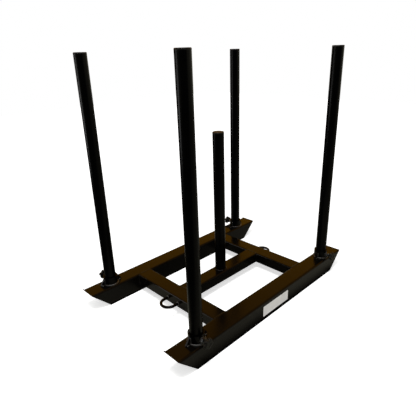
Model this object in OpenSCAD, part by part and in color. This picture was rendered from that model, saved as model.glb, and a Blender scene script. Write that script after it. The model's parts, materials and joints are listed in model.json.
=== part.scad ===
// Drag sled: two square-tube runners on wrapped skid plates, joined by two crossmembers and a centre beam.
// Four push posts stand in gusseted sockets, each held by a locking screw. A shorter post carries weight plates.
// Front is -Y, rear is +Y, left is -X, right is +X. The origin is on the ground under the middle of the sled.

/* [Runners] */
// Length of a runner's tube along its top
runner_len = 1058; // [900:2:1300]
// Width of the square runner tube
runner_w = 80; // [70:1:100]
// Height of the square runner tube
runner_h = 80; // [74:1:100]
// Wall of the runner tube
runner_wall = 4; // [3:0.5:6]
// Outside corner radius of the runner tube
runner_corner = 8; // [7:0.5:10]
// Distance between the two runners' centre lines
runner_centres = 552; // [460:2:700]
// Thickness of the skid plate wrapped under a runner
skid_t = 3; // [2:0.5:8]

/* [Crossmembers and beam] */
// Width of a crossmember, along the sled
cross_w = 70; // [60:1:90]
// Height of a crossmember
cross_h = 50; // [40:1:70]
// Wall of the crossmember and beam tube
cross_wall = 3; // [2:0.5:5]
// Outside corner radius of the crossmember and beam tube
cross_corner = 6; // [5.5:0.5:8]
// Distance between the two crossmembers' centre lines
cross_centres = 517; // [400:1:620]
// Width of the centre beam
beam_w = 66; // [60:1:90]
// Leg of the fillet welds on the frame
frame_bead = 4; // [3:0.5:6]
// Gap left between a curved tube and what is shaped to it before welding
weld_gap = 0.05; // [0.03:0.01:0.1]

/* [Posts] */
// Outside diameter of every post
post_d = 48.3; // [46:0.1:50]
// Wall of the post tube
post_wall = 3.2; // [2.5:0.1:5]
// Tube length of a push post
push_post_len = 1020; // [600:5:1200]
// Tube length of the weight post
weight_post_len = 630; // [200:5:900]
// Distance from the end of a runner's top to the axis of its push post
post_inset = 113; // [111:1:160]
// Height of a cap's head above the tube it closes
cap_head_h = 6; // [4:0.5:12]
// Radius of the rounded rim of a cap's head
cap_rim = 3; // [1.5:0.5:4]
// Length of a cap's ribbed stem inside the tube
cap_stem_len = 24; // [16:1:40]
// Wall of a cap's stem
cap_stem_wall = 2.5; // [1.5:0.5:4]
// Number of gripping ribs on a cap's stem
cap_ribs = 3; // [2:1:4]
// Thickness of a rib
cap_rib_t = 1.6; // [1:0.1:2.5]
// How far a rib stands out from the stem
cap_rib_depth = 1.2; // [0.6:0.1:2]
// Radial clearance of the ribs in the tube
cap_play = 0.05; // [0.03:0.01:0.1]
// Chamfer on the foot of a push post
post_chamfer = 1.5; // [0.5:0.1:2.2]
// Depth of the weld bevel on the foot of the weight post
foot_bevel = 2; // [1:0.1:2.3]

/* [Sockets] */
// Outside diameter of a socket tube
socket_d = 60.3; // [58:0.1:64]
// Radial play between a post and the socket's bore
post_play = 0.5; // [0.4:0.1:1]
// Height of a socket above the runner
socket_stand = 36; // [34:1:60]
// Chamfer at the mouth of a socket
socket_chamfer = 1.2; // [0.5:0.1:2]
// Leg of the ring weld round the foot of a socket or post
ring_bead = 5; // [3:0.5:7]
// Thickness of a gusset plate
gusset_t = 6; // [4:0.5:10]
// Reach of a gusset plate beyond the socket
gusset_reach = 21; // [12:1:36]
// Height of a gusset plate
gusset_h = 31; // [20:1:33]
// Height of the square edge at a gusset's toe and top
gusset_land = 3; // [2:0.5:5]

/* [Locking screws] */
// Thread diameter of a locking screw
screw_d = 10; // [8:1:10]
// Height of the locking screw's axis above the runner
screw_height = 17; // [15:1:22]
// Radial clearance of the screw in its nut
screw_play = 0.06; // [0.02:0.01:0.1]
// Width across the flats of the nut
nut_flats = 17; // [16:0.5:19]
// Height of the nut beyond the socket
nut_h = 10; // [8:0.5:14]
// Gap between the nut and the knob when the post is clamped
knob_gap = 6; // [4:0.5:12]
// Diameter over the lobes of a star knob
knob_d = 40; // [32:1:50]
// Number of lobes on a star knob
knob_lobes = 5; // [5:1:8]
// Diameter of one lobe
knob_lobe_d = 15; // [13:0.5:17]
// Diameter of the disc that joins the lobes
knob_web_d = 30; // [28:0.5:32]
// Radius of the lobes' rounded edges
knob_edge = 2; // [1:0.5:3]
// Height of a star knob's lobed head
knob_head_h = 13; // [10:0.5:18]
// Diameter of a star knob's hub
knob_hub_d = 20; // [16:0.5:24]
// Height of a star knob's hub
knob_hub_h = 7; // [5:0.5:10]
// Diameter of the dish in a star knob's face
knob_dish_d = 16; // [10:1:18]
// Depth of the dish in a star knob's face
knob_dish = 1.2; // [0.5:0.1:2]
// Diameter of a thrust pad
pad_d = 7.6; // [7:0.1:7.8]
// Length of a thrust pad
pad_len = 4; // [3.6:0.1:5]
// Gap between a thrust pad and the post
pad_gap = 0.3; // [0.2:0.05:0.4]
// Diameter of the screw's nose that carries the pad
nose_d = 4; // [3:0.1:5]

/* [Tow eyes] */
// Diameter of the round bar of a tow eye
tow_bar = 12; // [8:0.5:16]
// Clear width inside a tow eye
tow_inside = 54; // [40:1:80]
// Reach of a tow eye beyond its crossmember, to the outside of the bar
tow_reach = 60; // [56:1:90]
// Height of a tow eye's bar above the ground
tow_z = 54; // [48:0.5:60]
// Leg of the ring weld round each leg of a tow eye
tow_bead = 3; // [2:0.5:5]

/* [Plate on the side] */
// Length of the blank plate on the right runner
plate_len = 170; // [100:1:300]
// Height of the blank plate
plate_h = 46; // [30:1:54]
// Thickness of the blank plate
plate_t = 0.6; // [0.4:0.1:2]
// Height of the blank plate's centre above the ground
plate_z = 41; // [38:0.5:46]
// Corner radius of the blank plate
plate_corner = 3; // [1:0.5:8]

/* [Hidden] */

// Colours of the finishes
COAT = "#1d1d1c";
PLASTIC = "#101010";
ZINC = "#b9bcc0";
BRASS = "#b08d4a";
WHITE = "#f2f2f0";

// Sides of the sled
LEFT = -1;
RIGHT = 1;
FRONT = -1;
REAR = 1;

round_fn = 96;
small_fn = 48;
overcut = 1;
// Small lap where two shapes of one solid meet
lap = 0.01;

// Heights above the ground
runner_bottom = skid_t;
runner_top = skid_t + runner_h;
runner_mid = skid_t + runner_h / 2;
runner_floor = skid_t + runner_wall;
runner_x = runner_centres / 2;
cross_y = cross_centres / 2;
cross_mid = runner_top - cross_h / 2;
cross_foot = runner_top - cross_h;

// Posts and sockets
post_r = post_d / 2;
post_bore_r = post_r - post_wall;
post_y = runner_len / 2 - post_inset;
socket_r = socket_d / 2;
socket_bore_r = post_r + post_play;
socket_top = runner_top + socket_stand;

// Locking screw, measured outwards from the post's axis
screw_r = screw_d / 2;
screw_z = runner_top + screw_height;
nut_bore_r = screw_r + screw_play;
pad_face = post_r + pad_gap;
screw_tip = pad_face + pad_len;
nose_len = pad_len * 0.6;
nose_gap = 0.2;
nose_r = nose_d / 2;
nut_face = socket_r + nut_h;
knob_foot = nut_face + knob_gap;
knob_face = knob_foot + knob_hub_h + knob_head_h;
screw_seat = knob_foot + knob_hub_h + knob_head_h * 0.6;
nut_foot_depth = 3;

// Tow eye
tow_r = tow_bar / 2;
tow_bend = tow_inside / 2 + tow_r;
tow_leg = tow_reach - tow_r - tow_bend;
cross_face_y = cross_y + cross_w / 2;

// Plain outlines

module rounded_outline(w, h, r) {
    square([w - 2 * r, h], center = true);
    square([w, h - 2 * r], center = true);
    for (sx = [-1, 1], sy = [-1, 1])
        translate([sx * (w / 2 - r), sy * (h / 2 - r)])
            circle(r, $fn = small_fn);
}

module box_section(w, h, wall, r) {
    difference() {
        rounded_outline(w, h, r);
        rounded_outline(w - 2 * wall, h - 2 * wall, r - wall);
    }
}

// A profile drawn across and up, run along the sled
module along_sled(len) {
    rotate([90, 0, 0])
        linear_extrude(len, center = true)
            children();
}

// A profile drawn along and up, run across the sled
module across_sled(len) {
    rotate([90, 0, 90])
        linear_extrude(len, center = true)
            children();
}

module at_socket(side, end) {
    translate([side * runner_x, end * post_y, 0])
        children();
}

// Turns something drawn along +Z to point outwards from a socket, at the screw's height
module outwards(side) {
    translate([0, 0, screw_z])
        rotate([0, side * 90, 0])
            children();
}

// Frame

// What the mitre takes off the rear end of a runner, drawn along and up
module mitre_offcut() {
    half = runner_len / 2;
    polygon([
        [half + overcut, runner_top + overcut],
        [half - runner_h - overcut, runner_bottom - overcut],
        [half + overcut, runner_bottom - overcut]
    ]);
}

module runner(side) {
    color(COAT)
        difference() {
            translate([side * runner_x, 0, runner_mid])
                along_sled(runner_len)
                    box_section(runner_w, runner_h, runner_wall, runner_corner);
            for (flip = [0, 1])
                mirror([0, flip, 0])
                    translate([side * runner_x, 0, 0])
                        across_sled(runner_w + 2 * overcut)
                            mitre_offcut();
            for (end = [FRONT, REAR])
                at_socket(side, end)
                    translate([0, 0, runner_mid])
                        cylinder(r = socket_r + weld_gap, h = runner_h, $fn = round_fn);
        }
}

// One flat bar bent up round both mitred ends, so the sled slides either way.
// The rear half runs round the outside of the bend, up to the tip and back to the bend's inside.
module skid_outline() {
    flat_end = runner_len / 2 - runner_h;
    rear = concat(
        [for (a = [0 : 5 : 45]) [flat_end + skid_t * sin(a), skid_t - skid_t * cos(a)]],
        [
            [flat_end + runner_h + skid_t * sqrt(2), runner_top],
            [flat_end + runner_h, runner_top],
            [flat_end, skid_t]
        ]
    );
    front = [for (i = [len(rear) - 1 : -1 : 0]) [-rear[i].x, rear[i].y]];
    polygon(concat(rear, front));
}

module skid_plate(side) {
    color(COAT)
        translate([side * runner_x, 0, 0])
            across_sled(runner_w)
                skid_outline();
}

module crossmember(end) {
    span = runner_centres - runner_w;
    color(COAT)
        translate([0, end * cross_y, cross_mid])
            across_sled(span)
                box_section(cross_w, cross_h, cross_wall, cross_corner);
}

module centre_beam() {
    span = cross_centres - cross_w;
    color(COAT)
        translate([0, 0, cross_mid])
            along_sled(span)
                box_section(beam_w, cross_h, cross_wall, cross_corner);
}

// Fillet of a weld: legs along +X and +Y from the corner at the origin. A bevel gives it a root beyond the corner.
module fillet_outline(leg, bevel = 0) {
    polygon([[-bevel, 0], [leg, 0], [0, leg]]);
}

// Weld that fills the groove over a tube's rounded edge, flush with its top
module groove_outline(r) {
    difference() {
        translate([0, -r])
            square(r);
        translate([r, -r])
            circle(r + weld_gap, $fn = round_fn);
    }
}

// Runs a weld's profile under or over a tube that lies along X, at height z
module weld_run(len, z) {
    translate([0, 0, z])
        rotate([90, 0, 0])
            linear_extrude(len, center = true)
                children();
}

// Welds at one end of a tube that butts against a flat face, drawn with the face towards +X:
// a fillet up each side and a groove weld over the other tube's rounded top edge
module butt_welds(width, corner) {
    side_foot = cross_foot + cross_corner;
    side_top = runner_top - max(corner, cross_corner);
    for (side = [-1, 1])
        translate([0, side * width / 2, side_foot])
            rotate([0, 0, side > 0 ? 90 : 180])
                linear_extrude(side_top - side_foot)
                    fillet_outline(frame_bead);
    weld_run(width - 2 * cross_corner, runner_top)
        groove_outline(corner);
}

// A crossmember has a fillet underneath, where the runner's side goes on down.
// The beam has a second groove weld there, because its foot is flush with the crossmember's.
module frame_welds() {
    color(COAT) {
        for (end = [FRONT, REAR], side = [LEFT, RIGHT])
            translate([side * (runner_x - runner_w / 2), end * cross_y, 0])
                rotate([0, 0, side > 0 ? 0 : 180]) {
                    butt_welds(cross_w, runner_corner);
                    weld_run(cross_w - 2 * cross_corner, cross_foot)
                        rotate(180)
                            fillet_outline(frame_bead);
                }
        for (end = [FRONT, REAR])
            translate([0, end * (cross_y - cross_w / 2), 0])
                rotate([0, 0, end * 90]) {
                    butt_welds(beam_w, cross_corner);
                    weld_run(beam_w - 2 * cross_corner, cross_foot)
                        mirror([0, 1])
                            groove_outline(cross_corner);
                }
    }
}

// Ring weld round a tube of radius r that stands on a flat face
module ring_weld(r, leg, bevel = 0) {
    rotate_extrude($fn = round_fn)
        translate([r + weld_gap, 0])
            fillet_outline(leg, bevel);
}

// The socket's ring is cut where the two gussets pass through it
module foot_welds() {
    color(COAT) {
        translate([0, 0, runner_top])
            ring_weld(post_r, ring_bead, foot_bevel);
        for (side = [LEFT, RIGHT], end = [FRONT, REAR])
            at_socket(side, end)
                translate([0, 0, runner_top])
                    difference() {
                        ring_weld(socket_r, ring_bead);
                        translate([-gusset_t / 2, -socket_d, -overcut])
                            cube([gusset_t, 2 * socket_d, ring_bead + 2 * overcut]);
                    }
        for (end = [FRONT, REAR], side = [-1, 1])
            translate([side * tow_bend, end * cross_face_y, tow_z])
                rotate([end * -90, 0, 0])
                    ring_weld(tow_r, tow_bead);
    }
}

// Posts

// Tube whose foot is bevelled on the outside, by so much across and so much up
module post_tube(len, across, up) {
    difference() {
        cylinder(r = post_r, h = len, $fn = round_fn);
        translate([0, 0, -overcut])
            cylinder(r = post_bore_r, h = len + 2 * overcut, $fn = round_fn);
        rotate_extrude($fn = round_fn)
            polygon([
                [post_r - across, -overcut],
                [post_r - across, 0],
                [post_r, up],
                [post_r + overcut, up],
                [post_r + overcut, -overcut]
            ]);
    }
}

// Plug with a rounded head as wide as the post and a stem with ribs that grip the tube's bore
module post_cap() {
    rib_r = post_bore_r - cap_play;
    stem_r = rib_r - cap_rib_depth;
    rib_pitch = cap_stem_len / (cap_ribs + 1);
    difference() {
        union() {
            rotate_extrude($fn = round_fn) {
                square([post_r - cap_rim, cap_head_h]);
                square([post_r, cap_head_h - cap_rim]);
                translate([post_r - cap_rim, cap_head_h - cap_rim])
                    intersection() {
                        circle(cap_rim, $fn = small_fn);
                        square(cap_rim);
                    }
            }
            translate([0, 0, -cap_stem_len])
                cylinder(r = stem_r, h = cap_stem_len, $fn = round_fn);
            for (i = [1 : cap_ribs])
                translate([0, 0, -i * rib_pitch])
                    cylinder(r = rib_r, h = cap_rib_t, $fn = round_fn);
        }
        translate([0, 0, -cap_stem_len - overcut])
            cylinder(r = stem_r - cap_stem_wall, h = cap_stem_len, $fn = round_fn);
    }
}

// The weld fills the bevel, so the wall that plates slide on starts above it
module weight_post() {
    color(COAT)
        translate([0, 0, runner_top])
            post_tube(weight_post_len, foot_bevel, ring_bead);
}

module weight_post_cap() {
    color(PLASTIC)
        translate([0, 0, runner_top + weight_post_len])
            post_cap();
}

module push_post(side, end) {
    color(COAT)
        at_socket(side, end)
            translate([0, 0, runner_floor])
                post_tube(push_post_len, post_chamfer, post_chamfer);
}

module push_post_cap(side, end) {
    color(PLASTIC)
        at_socket(side, end)
            translate([0, 0, runner_floor + push_post_len])
                post_cap();
}

// Sockets

// Tube that passes through the runner's top wall and stands on its floor
module socket(side, end) {
    color(COAT)
        at_socket(side, end)
            difference() {
                translate([0, 0, runner_floor])
                    cylinder(r = socket_r, h = socket_top - runner_floor, $fn = round_fn);
                translate([0, 0, runner_floor - overcut])
                    cylinder(r = socket_bore_r, h = socket_top - runner_floor + 2 * overcut, $fn = round_fn);
                translate([0, 0, socket_top - socket_chamfer])
                    cylinder(r1 = socket_bore_r, r2 = socket_bore_r + socket_chamfer + lap,
                        h = socket_chamfer + lap, $fn = round_fn);
                outwards(side)
                    cylinder(r = nut_bore_r, h = socket_d, $fn = small_fn);
            }
}

// Two triangular plates, ahead of and behind the socket
module gussets(side, end) {
    root = socket_r - overcut;
    toe = socket_r + gusset_reach;
    color(COAT)
        at_socket(side, end)
            difference() {
                for (flip = [0, 1])
                    mirror([0, flip, 0])
                        translate([0, 0, runner_top])
                            across_sled(gusset_t)
                                polygon([
                                    [root, 0],
                                    [toe, 0],
                                    [toe, gusset_land],
                                    [socket_r + gusset_land, gusset_h],
                                    [root, gusset_h]
                                ]);
                translate([0, 0, runner_mid])
                    cylinder(r = socket_r + weld_gap, h = runner_h + socket_stand, $fn = round_fn);
            }
}

// Nut welded to the socket, its foot shaped to the tube
module lock_nut(side, end) {
    foot = socket_r - nut_foot_depth;
    color(ZINC)
        at_socket(side, end)
            difference() {
                outwards(side)
                    translate([0, 0, foot])
                        rotate([0, 0, 30])
                            cylinder(d = nut_flats / cos(30), h = nut_face - foot, $fn = 6);
                outwards(side)
                    cylinder(r = nut_bore_r, h = nut_face + overcut, $fn = small_fn);
                cylinder(r = socket_r + weld_gap, h = socket_top + overcut, $fn = round_fn);
            }
}

// Locking screws

module thrust_pad(side, end) {
    color(BRASS)
        at_socket(side, end)
            outwards(side)
                difference() {
                    translate([0, 0, pad_face])
                        cylinder(d = pad_d, h = pad_len, $fn = small_fn);
                    translate([0, 0, screw_tip - nose_len - nose_gap])
                        cylinder(r = nose_r + screw_play, h = nose_len + nose_gap + overcut, $fn = small_fn);
                }
}

module lock_screw(side, end) {
    color(ZINC)
        at_socket(side, end)
            outwards(side) {
                translate([0, 0, screw_tip])
                    cylinder(r = screw_r, h = screw_seat - screw_tip, $fn = small_fn);
                translate([0, 0, screw_tip - nose_len])
                    cylinder(r = nose_r, h = nose_len + overcut, $fn = small_fn);
            }
}

// Half of a lobe's section, with a rounded edge at the foot and the face
module lobe_profile(r) {
    translate([0, knob_edge])
        square([r, knob_head_h - 2 * knob_edge]);
    square([r - knob_edge, knob_head_h]);
    for (level = [knob_edge, knob_head_h - knob_edge])
        translate([r - knob_edge, level])
            intersection() {
                circle(knob_edge, $fn = small_fn);
                translate([0, -knob_edge])
                    square([knob_edge, 2 * knob_edge]);
            }
}

// Lobed head on a round hub, with a blind bore for the screw
module star_knob(side, end) {
    lobe_r = knob_lobe_d / 2;
    color(PLASTIC)
        at_socket(side, end)
            outwards(side)
                difference() {
                    union() {
                        translate([0, 0, knob_foot])
                            cylinder(d = knob_hub_d, h = knob_hub_h + overcut, $fn = small_fn);
                        translate([0, 0, knob_foot + knob_hub_h])
                            cylinder(d = knob_web_d, h = knob_head_h, $fn = small_fn);
                        for (i = [0 : knob_lobes - 1])
                            rotate([0, 0, i * 360 / knob_lobes])
                                translate([knob_d / 2 - lobe_r, 0, knob_foot + knob_hub_h])
                                    rotate_extrude($fn = small_fn)
                                        lobe_profile(lobe_r);
                    }
                    translate([0, 0, knob_foot - overcut])
                        cylinder(r = screw_r + screw_play, h = screw_seat - knob_foot + overcut, $fn = small_fn);
                    translate([0, 0, knob_face - knob_dish])
                        cylinder(d = knob_dish_d, h = knob_dish + overcut, $fn = small_fn);
                }
}

// Tow eyes

// A round bar bent into a loop, its two ends welded to the crossmember's face
module tow_eye(end) {
    color(COAT)
        rotate([0, 0, end > 0 ? 0 : 180])
            translate([0, cross_face_y, tow_z]) {
                for (sx = [-1, 1])
                    translate([sx * tow_bend, 0, 0])
                        rotate([-90, 0, 0])
                            cylinder(r = tow_r, h = tow_leg + lap, $fn = small_fn);
                translate([0, tow_leg, 0])
                    rotate_extrude(angle = 180, $fn = round_fn)
                        translate([tow_bend, 0])
                            circle(tow_r, $fn = small_fn);
            }
}

// Blank plate stuck to the outer face of the right runner
module side_plate() {
    color(WHITE)
        translate([runner_x + runner_w / 2 + plate_t / 2, 0, plate_z])
            across_sled(plate_t)
                rounded_outline(plate_len, plate_h, plate_corner);
}

runner(LEFT);  // left_runner
runner(RIGHT);  // right_runner
skid_plate(LEFT);  // left_skid_plate
skid_plate(RIGHT);  // right_skid_plate
crossmember(FRONT);  // front_crossmember
crossmember(REAR);  // rear_crossmember
centre_beam();
frame_welds();
weight_post();
weight_post_cap();
foot_welds();
socket(LEFT, FRONT);  // front_left_socket
socket(RIGHT, FRONT);  // front_right_socket
socket(LEFT, REAR);  // rear_left_socket
socket(RIGHT, REAR);  // rear_right_socket
gussets(LEFT, FRONT);  // front_left_gussets
gussets(RIGHT, FRONT);  // front_right_gussets
gussets(LEFT, REAR);  // rear_left_gussets
gussets(RIGHT, REAR);  // rear_right_gussets
lock_nut(LEFT, FRONT);  // front_left_nut
lock_nut(RIGHT, FRONT);  // front_right_nut
lock_nut(LEFT, REAR);  // rear_left_nut
lock_nut(RIGHT, REAR);  // rear_right_nut
thrust_pad(LEFT, FRONT);  // front_left_pad
thrust_pad(RIGHT, FRONT);  // front_right_pad
thrust_pad(LEFT, REAR);  // rear_left_pad
thrust_pad(RIGHT, REAR);  // rear_right_pad
lock_screw(LEFT, FRONT);  // front_left_screw
lock_screw(RIGHT, FRONT);  // front_right_screw
lock_screw(LEFT, REAR);  // rear_left_screw
lock_screw(RIGHT, REAR);  // rear_right_screw
star_knob(LEFT, FRONT);  // front_left_knob
star_knob(RIGHT, FRONT);  // front_right_knob
star_knob(LEFT, REAR);  // rear_left_knob
star_knob(RIGHT, REAR);  // rear_right_knob
push_post(LEFT, FRONT);  // front_left_push_post
push_post(RIGHT, FRONT);  // front_right_push_post
push_post(LEFT, REAR);  // rear_left_push_post
push_post(RIGHT, REAR);  // rear_right_push_post
push_post_cap(LEFT, FRONT);  // front_left_post_cap
push_post_cap(RIGHT, FRONT);  // front_right_post_cap
push_post_cap(LEFT, REAR);  // rear_left_post_cap
push_post_cap(RIGHT, REAR);  // rear_right_post_cap
tow_eye(FRONT);  // front_tow_eye
tow_eye(REAR);  // rear_tow_eye
side_plate();
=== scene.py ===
"""Looks of the drag sled.

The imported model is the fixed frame: its tubes, plates, posts and caps keep their shape and get their finish
here. Weld beads, screws, nuts and knobs are made here in full and stand for their plain solids. Lengths are
in metres.
"""

import json
import math
from functools import partial

import bmesh
import bpy
from bpy.props import FloatProperty, FloatVectorProperty, IntProperty, PointerProperty
from mathutils import Matrix, Vector


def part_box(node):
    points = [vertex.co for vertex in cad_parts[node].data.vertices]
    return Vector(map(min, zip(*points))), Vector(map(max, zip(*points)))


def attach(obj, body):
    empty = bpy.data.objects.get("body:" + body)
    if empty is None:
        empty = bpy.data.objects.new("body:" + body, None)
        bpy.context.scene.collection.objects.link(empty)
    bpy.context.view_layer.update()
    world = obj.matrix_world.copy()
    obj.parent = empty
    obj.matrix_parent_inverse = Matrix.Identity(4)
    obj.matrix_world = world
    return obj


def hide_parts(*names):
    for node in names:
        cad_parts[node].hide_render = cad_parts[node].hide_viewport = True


bl_info = {
    "name": "Drag sled",
    "version": (1, 0, 0),
    "blender": (4, 5, 0),
    "location": "3D View > Sidebar > Drag sled",
    "description": "Finishes, weld beads, locking screws and stage of a drag sled",
    "category": "Object",
}

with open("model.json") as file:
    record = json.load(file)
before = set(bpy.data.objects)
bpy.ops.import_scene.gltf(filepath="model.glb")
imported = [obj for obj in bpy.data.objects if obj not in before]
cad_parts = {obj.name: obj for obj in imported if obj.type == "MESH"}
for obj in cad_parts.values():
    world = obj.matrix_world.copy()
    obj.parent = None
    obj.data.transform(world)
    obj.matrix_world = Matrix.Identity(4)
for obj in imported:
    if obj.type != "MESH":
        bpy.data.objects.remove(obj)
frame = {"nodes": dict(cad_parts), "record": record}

MM = 0.001
UP = Vector((0, 0, 1))
WHITE = (1, 1, 1, 1)
BLACK = (0, 0, 0, 1)
CORNERS = ("front_left", "front_right", "rear_left", "rear_right")
ROOT = "sled_frame"
PICTURE_WIDTH = 416
QUARTER = [math.radians(15 * i) for i in range(7)]


def linear(hex_colour):
    """The linear colour of an sRGB hex value such as #1a2b3c."""
    channels = [int(hex_colour[i : i + 2], 16) / 255 for i in (1, 3, 5)]
    return tuple(c / 12.92 if c <= 0.04045 else ((c + 0.055) / 1.055) ** 2.4 for c in channels)


def length(name, description, default, low, high):
    """A size in millimetres that a user may change."""
    return FloatProperty(
        name=name,
        description=description,
        default=default * MM,
        min=low * MM,
        max=high * MM,
        precision=5,
        subtype="DISTANCE",
        unit="LENGTH",
    )


def colour(name, description, hex_colour):
    """A colour that a user may change."""
    return FloatVectorProperty(
        name=name, description=description, default=linear(hex_colour), min=0, max=1, size=3, subtype="COLOR"
    )


def share(name, description, default):
    """A share from 0 to 1 that a user may change."""
    return FloatProperty(name=name, description=description, default=default, min=0, max=1, subtype="FACTOR")


def angle(name, description, degrees):
    """An angle in degrees that a user may change."""
    turn = math.radians(degrees)
    return FloatProperty(name=name, description=description, default=turn, subtype="ANGLE", unit="ROTATION")


def position(name, description, place):
    """A place in metres that a user may change."""
    return FloatVectorProperty(
        name=name, description=description, default=place, subtype="TRANSLATION", unit="LENGTH"
    )


def power(name, description, watts):
    """A lamp's power in watts that a user may change."""
    return FloatProperty(name=name, description=description, default=watts, min=0, max=500, unit="POWER")


class SledSizes(bpy.types.PropertyGroup):
    """Sizes of the pieces that the scene makes"""

    frame_bead: length("Frame bead", "Leg of the fillet welds between the tubes", 4, 2, 6)
    ring_bead: length("Ring bead", "Leg of the ring welds round the posts and sockets", 5, 3, 7)
    plate_bead: length("Plate bead", "Leg of the welds along the gussets", 3.5, 2, 5)
    small_bead: length("Small bead", "Leg of the welds at the nuts and tow eyes", 3, 1.5, 5)
    groove_crown: length("Groove crown", "How proud a bead over a tube's rounded edge stands", 0.5, 0.2, 1)
    ripple_pitch: length("Ripple pitch", "Distance from one ripple of a weld to the next", 3, 1, 6)
    ripple_height: length("Ripple height", "How far a ripple stands out", 0.45, 0, 1)
    runner_corner: length("Runner corner", "Outside corner radius of the runner tube", 8, 4, 12)
    cross_corner: length("Crossmember corner", "Outside corner radius of the crossmembers and beam", 6, 4, 9)
    gusset_height: length("Gusset height", "Height of a gusset plate", 31, 20, 40)
    thread_pitch: length("Thread pitch", "Pitch of the locking screw's thread", 1.5, 1, 2.5)
    nose_radius: length("Nose radius", "Radius of the screw's plain nose", 2, 1.5, 3)
    nose_length: length("Nose length", "Length of the screw's plain nose", 2.4, 1, 4)
    nut_flats: length("Nut flats", "Width across the flats of a nut", 17, 16, 19)
    nut_bore: length("Nut bore", "Radius of a nut's bore", 5.06, 5.02, 5.1)
    knob_lobes: IntProperty(name="Knob lobes", description="Lobes on a star knob", default=5, min=3, max=8)
    knob_lobe_radius: length("Lobe radius", "Radius of one lobe of a star knob", 7.5, 5, 9)
    knob_web_radius: length("Web radius", "Radius of a star knob between its lobes", 15, 12, 17)
    knob_hub_radius: length("Hub radius", "Radius of a star knob's hub", 10, 8, 12)
    knob_hub_height: length("Hub height", "Height of a star knob's hub", 7, 5, 10)
    knob_edge: length("Knob edge", "Radius of a star knob's rounded edges", 2.4, 1, 4)
    knob_dish_radius: length("Dish radius", "Radius of the dish in a knob's face", 8, 4, 10)
    knob_dish_depth: length("Dish depth", "Depth of the dish in a knob's face", 1.2, 0, 3)


class SledFinishes(bpy.types.PropertyGroup):
    """Colours and textures of the sled's materials and its surroundings"""

    coat_colour: colour("Powder coat", "Colour of the powder coat on the frame", "#050403")
    coat_roughness: share("Coat roughness", "Roughness of the powder coat on the frame", 0.18)
    coat_gloss: share("Coat gloss", "Specular level of the powder coat on the frame", 0.12)
    post_colour: colour("Post paint", "Colour of the paint on the posts, sockets and tow eyes", "#010101")
    post_roughness: share("Post roughness", "Roughness of the paint on the posts and sockets", 0.26)
    post_gloss: share("Post gloss", "Specular level of the paint on the posts and sockets", 0.08)
    weld_colour: colour("Weld coat", "Colour of the powder coat over the welds", "#161513")
    weld_roughness: share("Weld roughness", "Roughness of the powder coat over the welds", 0.34)
    weld_gloss: share("Weld gloss", "Specular level of the powder coat over the welds", 0.6)
    peel_size: length("Peel size", "Width of one wave of the coat's orange peel", 7, 2, 20)
    plastic_colour: colour("Plastic", "Colour of the caps and knobs", "#0e0e0b")
    plastic_gloss: share("Plastic gloss", "Specular level of the caps and knobs", 0.15)
    zinc_colour: colour("Zinc", "Colour of the zinc plate on screws and nuts", "#4c4f52")
    brass_colour: colour("Brass", "Colour of the thrust pads", "#b08d4a")
    plate_colour: colour("Plate", "Colour of the blank plate on the runner", "#eceae6")
    floor_colour: colour("Floor", "Colour of the floor", "#ececea")
    gleam_colour: colour("Gleam", "Colour in which gloss shows the floor and the low backdrop", "#ebe6cd")
    wall_colour: colour("Wall", "Colour of the warm wall that gloss shows behind the sled", "#dd9700")


class SledStage(bpy.types.PropertyGroup):
    """Camera, light and surroundings"""

    camera_place: position("Camera place", "Where the camera stands", (1.1129, -1.1580, 1.0180))
    camera_turn: angle("Turn", "Turn of the view to the left of the sled's rear", 45.66)
    camera_tilt: angle("Tilt", "Downward tilt of the view", 21.49)
    camera_roll: angle("Roll", "Roll of the camera", -1.70)
    focal_pixels: FloatProperty(
        name="Focal length", description="In pixels of the picture", default=393.84, min=100, max=2000
    )
    softbox_place: position("Softbox place", "Where the softbox hangs", (0.42, -0.66, 2.45))
    softbox_power: power("Softbox power", "Power of the softbox", 44)
    softbox_size: length("Softbox size", "Width of the softbox", 1000, 200, 4000)
    side_place: position("Side lamp place", "Where the side lamp stands", (-1.75, -2.3, 0.6))
    side_power: power("Side lamp power", "Power of the side lamp", 14)
    side_size: length("Side lamp size", "Width of the side lamp", 1000, 200, 4000)
    fill_strength: share("Fill", "Strength of the even light from all round", 0.42)
    floor_lift: share("Floor lift", "Light that whitens the floor where it is seen", 0.6)
    floor_reach: length("Floor reach", "From the middle of the floor to its sides", 7000, 2000, 20000)
    room_front: angle("Room front", "Heading of the room's open, dim front", -44.4)
    room_strength: share("Room", "Strength of the dim room that gloss shows elsewhere", 0.12)
    # On the floor, this dim side is painted shade in the colour that gloss sees
    dim_way: angle("Dim side", "Heading of the room's dimmest side", 200)
    dim_share: share("Dim share", "Share of the light that is left on the dimmest side", 0.1)


def add_node(tree, kind, inputs=(), **settings):
    """Adds a node with its settings and links. Inputs are named by identifier or, as a tuple, come in order.
    An input takes a value, another node's output, or a node, which stands for its first output in use."""
    node = tree.nodes.new(kind)
    for name, value in settings.items():
        setattr(node, name, value)
    sockets = {socket.identifier: socket for socket in node.inputs}
    pairs = inputs.items() if isinstance(inputs, dict) else zip(sockets, inputs)
    for key, value in pairs:
        if isinstance(value, bpy.types.Node):
            value = next(socket for socket in value.outputs if socket.enabled)
        if isinstance(value, bpy.types.NodeSocket):
            tree.links.new(value, sockets[key])
        else:
            sockets[key].default_value = value
    return node


# Materials


def new_finish(name):
    """An empty node material, and its tree."""
    finish = bpy.data.materials.new(name)
    finish.use_nodes = True
    finish.node_tree.nodes.clear()
    return finish, finish.node_tree


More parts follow.
